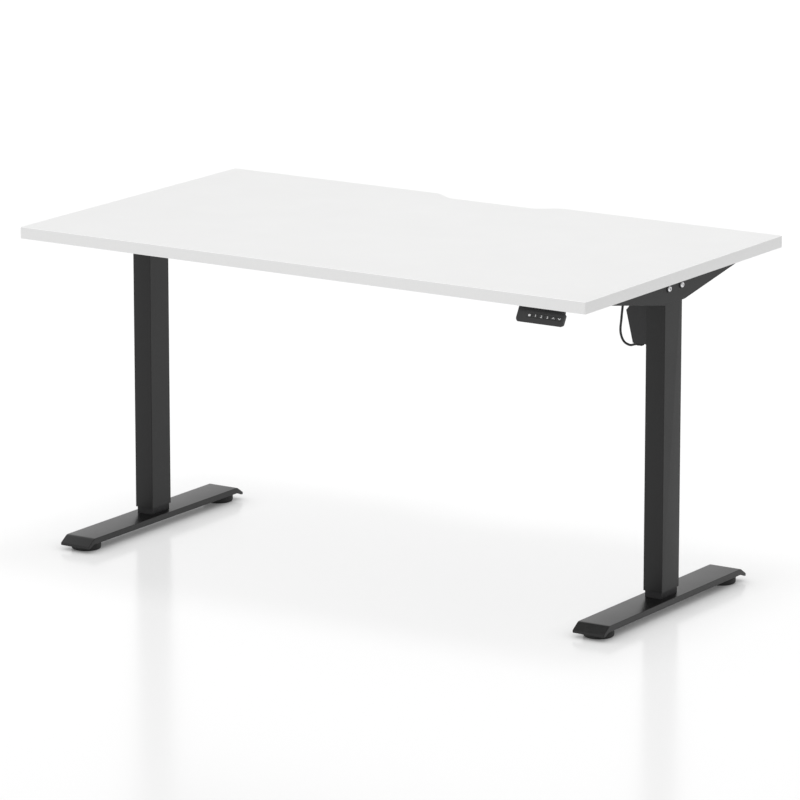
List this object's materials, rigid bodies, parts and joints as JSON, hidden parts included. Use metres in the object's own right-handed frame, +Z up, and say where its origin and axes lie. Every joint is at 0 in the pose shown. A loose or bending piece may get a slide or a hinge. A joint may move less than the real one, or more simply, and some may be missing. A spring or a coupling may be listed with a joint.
{
  "type": "height adjustable standing desk",
  "caption": "Rectangular board with a scooped rear edge on a two-leg telescopic frame, raised by a geared motor through a hex shaft, with a handset under the front edge.",
  "frame": {"origin": "on the floor, under the middle of the top, with the legs fully down", "axes": "+X to the right as seen by the person sitting at the desk, +Y to the rear edge with the scoop, +Z up"},
  "size_m": [1.4, 0.8, 0.728],
  "materials": {
    "white_laminate": "white melamine laminate on chipboard, fine satin grain",
    "white_edging": "white satin edging strip",
    "black_powder_coat": "black fine-texture powder coat, satin",
    "bright_bolts": "bright plated button-head bolts",
    "black_washer": "black oxide washers",
    "zinc_screws": "bright zinc plated steel",
    "guide_plastic": "black low-friction guide plastic",
    "nut_plastic": "natural white acetal",
    "cast_aluminium": "as-cast aluminium",
    "bearing_steel": "ground and oiled steel",
    "gear_bronze": "machined bronze",
    "motor_steel": "zinc plated motor can",
    "cover_plastic": "black moulded plastic with a fine spark texture",
    "gland_rubber": "black moulded rubber",
    "cable_sheath": "black smooth cable sheath",
    "clip_plastic": "black nylon",
    "box_plastic": "black moulded plastic",
    "circuit_board": "green circuit board",
    "inlet_plastic": "black moulded inlet",
    "handset_plastic": "dark grey moulded plastic",
    "handset_face": "black satin panel with pale marks",
    "pad_rubber": "black moulded rubbery plastic"
  },
  "bodies": {
    "right_base": {"foot_right": "black_powder_coat", "inner_tube_right": "black_powder_coat", "spindle_nut_right": "nut_plastic", "foot_screws_right": "zinc_screws"},
    "upper_frame": {"desktop_board": "white_laminate", "edge_banding": "white_edging", "side_bracket_left": "black_powder_coat", "side_bracket_right": "black_powder_coat", "bracket_bolts": "bright_bolts", "bracket_washers": "black_washer", "desktop_screws": "zinc_screws", "crossbeam_end_left": "black_powder_coat", "crossbeam_end_right": "black_powder_coat", "crossbeam_sleeves": "black_powder_coat", "outer_tube_left": "black_powder_coat", "outer_tube_right": "black_powder_coat", "guide_collar_left": "guide_plastic", "guide_collar_right": "guide_plastic", "gearbox_left": "cast_aluminium", "gearbox_right": "cast_aluminium", "thrust_bearings": "bearing_steel", "motor_cover": "cover_plastic", "drive_motor": "motor_steel", "motor_gearbox": "cast_aluminium", "cable_gland": "gland_rubber", "motor_cable": "cable_sheath", "cable_clips": "clip_plastic", "handset_cable": "cable_sheath", "control_box_base": "box_plastic", "control_box_lid": "box_plastic", "control_board": "circuit_board", "power_inlet": "inlet_plastic", "handset_case": "handset_plastic", "handset_panel": "handset_face", "handset_board": "circuit_board"},
    "left_base": {"foot_left": "black_powder_coat", "inner_tube_left": "black_powder_coat", "spindle_nut_left": "nut_plastic", "foot_screws_left": "zinc_screws"},
    "drive_shaft": {"hex_shaft": "bearing_steel", "shaft_gears": "bearing_steel", "worm_wheel": "gear_bronze"},
    "spindle_right": {"spindle_right": "bearing_steel", "spindle_gear_right": "bearing_steel"},
    "spindle_left": {"spindle_left": "bearing_steel", "spindle_gear_left": "bearing_steel"},
    "key_memory": {"key_memory": "handset_face"},
    "key_one": {"key_one": "handset_face"},
    "key_two": {"key_two": "handset_face"},
    "key_three": {"key_three": "handset_face"},
    "key_up": {"key_up": "handset_face"},
    "key_down": {"key_down": "handset_face"},
    "pad_front_left": {"pad_front_left": "pad_rubber"},
    "stud_front_left": {"stud_front_left": "zinc_screws"},
    "pad_rear_left": {"pad_rear_left": "pad_rubber"},
    "stud_rear_left": {"stud_rear_left": "zinc_screws"},
    "pad_front_right": {"pad_front_right": "pad_rubber"},
    "stud_front_right": {"stud_front_right": "zinc_screws"},
    "pad_rear_right": {"pad_rear_right": "pad_rubber"},
    "stud_rear_right": {"stud_rear_right": "zinc_screws"}
  },
  "joints": [
    {"name": "lift", "type": "slide", "parent": "right_base", "child": "upper_frame", "axis": [0, 0, 1], "range_m": [0, 0.48]},
    {"name": "left_lift", "type": "slide", "parent": "upper_frame", "child": "left_base", "axis": [0, 0, -1], "range_m": [0, 0.48]},
    {"name": "shaft_turn", "type": "hinge", "parent": "upper_frame", "child": "drive_shaft", "pos_m": [0, 0, 0.642], "axis": [1, 0, 0], "range_deg": [-10800, 0]},
    {"name": "spindle_right_turn", "type": "hinge", "parent": "upper_frame", "child": "spindle_right", "pos_m": [0.647, 0, 0.6], "axis": [0, 0, 1], "range_deg": [0, 10800]},
    {"name": "spindle_left_turn", "type": "hinge", "parent": "upper_frame", "child": "spindle_left", "pos_m": [-0.647, 0, 0.6], "axis": [0, 0, 1], "range_deg": [-10800, 0]},
    {"name": "key_memory_press", "type": "slide", "parent": "upper_frame", "child": "key_memory", "axis": [0, 0.8704, -0.4924], "range_m": [0, 0.0007], "stiffness_N_per_m": 600},
    {"name": "key_one_press", "type": "slide", "parent": "upper_frame", "child": "key_one", "axis": [0, 0.8704, -0.4924], "range_m": [0, 0.0007], "stiffness_N_per_m": 600},
    {"name": "key_two_press", "type": "slide", "parent": "upper_frame", "child": "key_two", "axis": [0, 0.8704, -0.4924], "range_m": [0, 0.0007], "stiffness_N_per_m": 600},
    {"name": "key_three_press", "type": "slide", "parent": "upper_frame", "child": "key_three", "axis": [0, 0.8704, -0.4924], "range_m": [0, 0.0007], "stiffness_N_per_m": 600},
    {"name": "key_up_press", "type": "slide", "parent": "upper_frame", "child": "key_up", "axis": [0, 0.8704, -0.4924], "range_m": [0, 0.0007], "stiffness_N_per_m": 600},
    {"name": "key_down_press", "type": "slide", "parent": "upper_frame", "child": "key_down", "axis": [0, 0.8704, -0.4924], "range_m": [0, 0.0007], "stiffness_N_per_m": 600},
    {"name": "pad_level_front_left", "type": "slide", "parent": "left_base", "child": "pad_front_left", "axis": [0, 0, -1], "range_m": [0, 0.01]},
    {"name": "stud_turn_front_left", "type": "hinge", "parent": "pad_front_left", "child": "stud_front_left", "pos_m": [-0.647, -0.25, 0.01], "axis": [0, 0, -1], "range_deg": [0, 2880]},
    {"name": "pad_level_rear_left", "type": "slide", "parent": "left_base", "child": "pad_rear_left", "axis": [0, 0, -1], "range_m": [0, 0.01]},
    {"name": "stud_turn_rear_left", "type": "hinge", "parent": "pad_rear_left", "child": "stud_rear_left", "pos_m": [-0.647, 0.25, 0.01], "axis": [0, 0, -1], "range_deg": [0, 2880]},
    {"name": "pad_level_front_right", "type": "slide", "parent": "right_base", "child": "pad_front_right", "axis": [0, 0, -1], "range_m": [0, 0.01]},
    {"name": "stud_turn_front_right", "type": "hinge", "parent": "pad_front_right", "child": "stud_front_right", "pos_m": [0.647, -0.25, 0.01], "axis": [0, 0, -1], "range_deg": [0, 2880]},
    {"name": "pad_level_rear_right", "type": "slide", "parent": "right_base", "child": "pad_rear_right", "axis": [0, 0, -1], "range_m": [0, 0.01]},
    {"name": "stud_turn_rear_right", "type": "hinge", "parent": "pad_rear_right", "child": "stud_rear_right", "pos_m": [0.647, 0.25, 0.01], "axis": [0, 0, -1], "range_deg": [0, 2880]}
  ],
  "couplings": [
    {"joint": "left_lift", "follows": "lift", "ratio": 1},
    {"joint": "shaft_turn", "follows": "lift", "rad_per_m": -392.7},
    {"joint": "spindle_right_turn", "follows": "lift", "rad_per_m": 392.7},
    {"joint": "spindle_left_turn", "follows": "lift", "rad_per_m": -392.7},
    {"joint": "stud_turn_front_left", "follows": "pad_level_front_left", "rad_per_m": 5026.5},
    {"joint": "stud_turn_rear_left", "follows": "pad_level_rear_left", "rad_per_m": 5026.5},
    {"joint": "stud_turn_front_right", "follows": "pad_level_front_right", "rad_per_m": 5026.5},
    {"joint": "stud_turn_rear_right", "follows": "pad_level_rear_right", "rad_per_m": 5026.5}
  ]
}
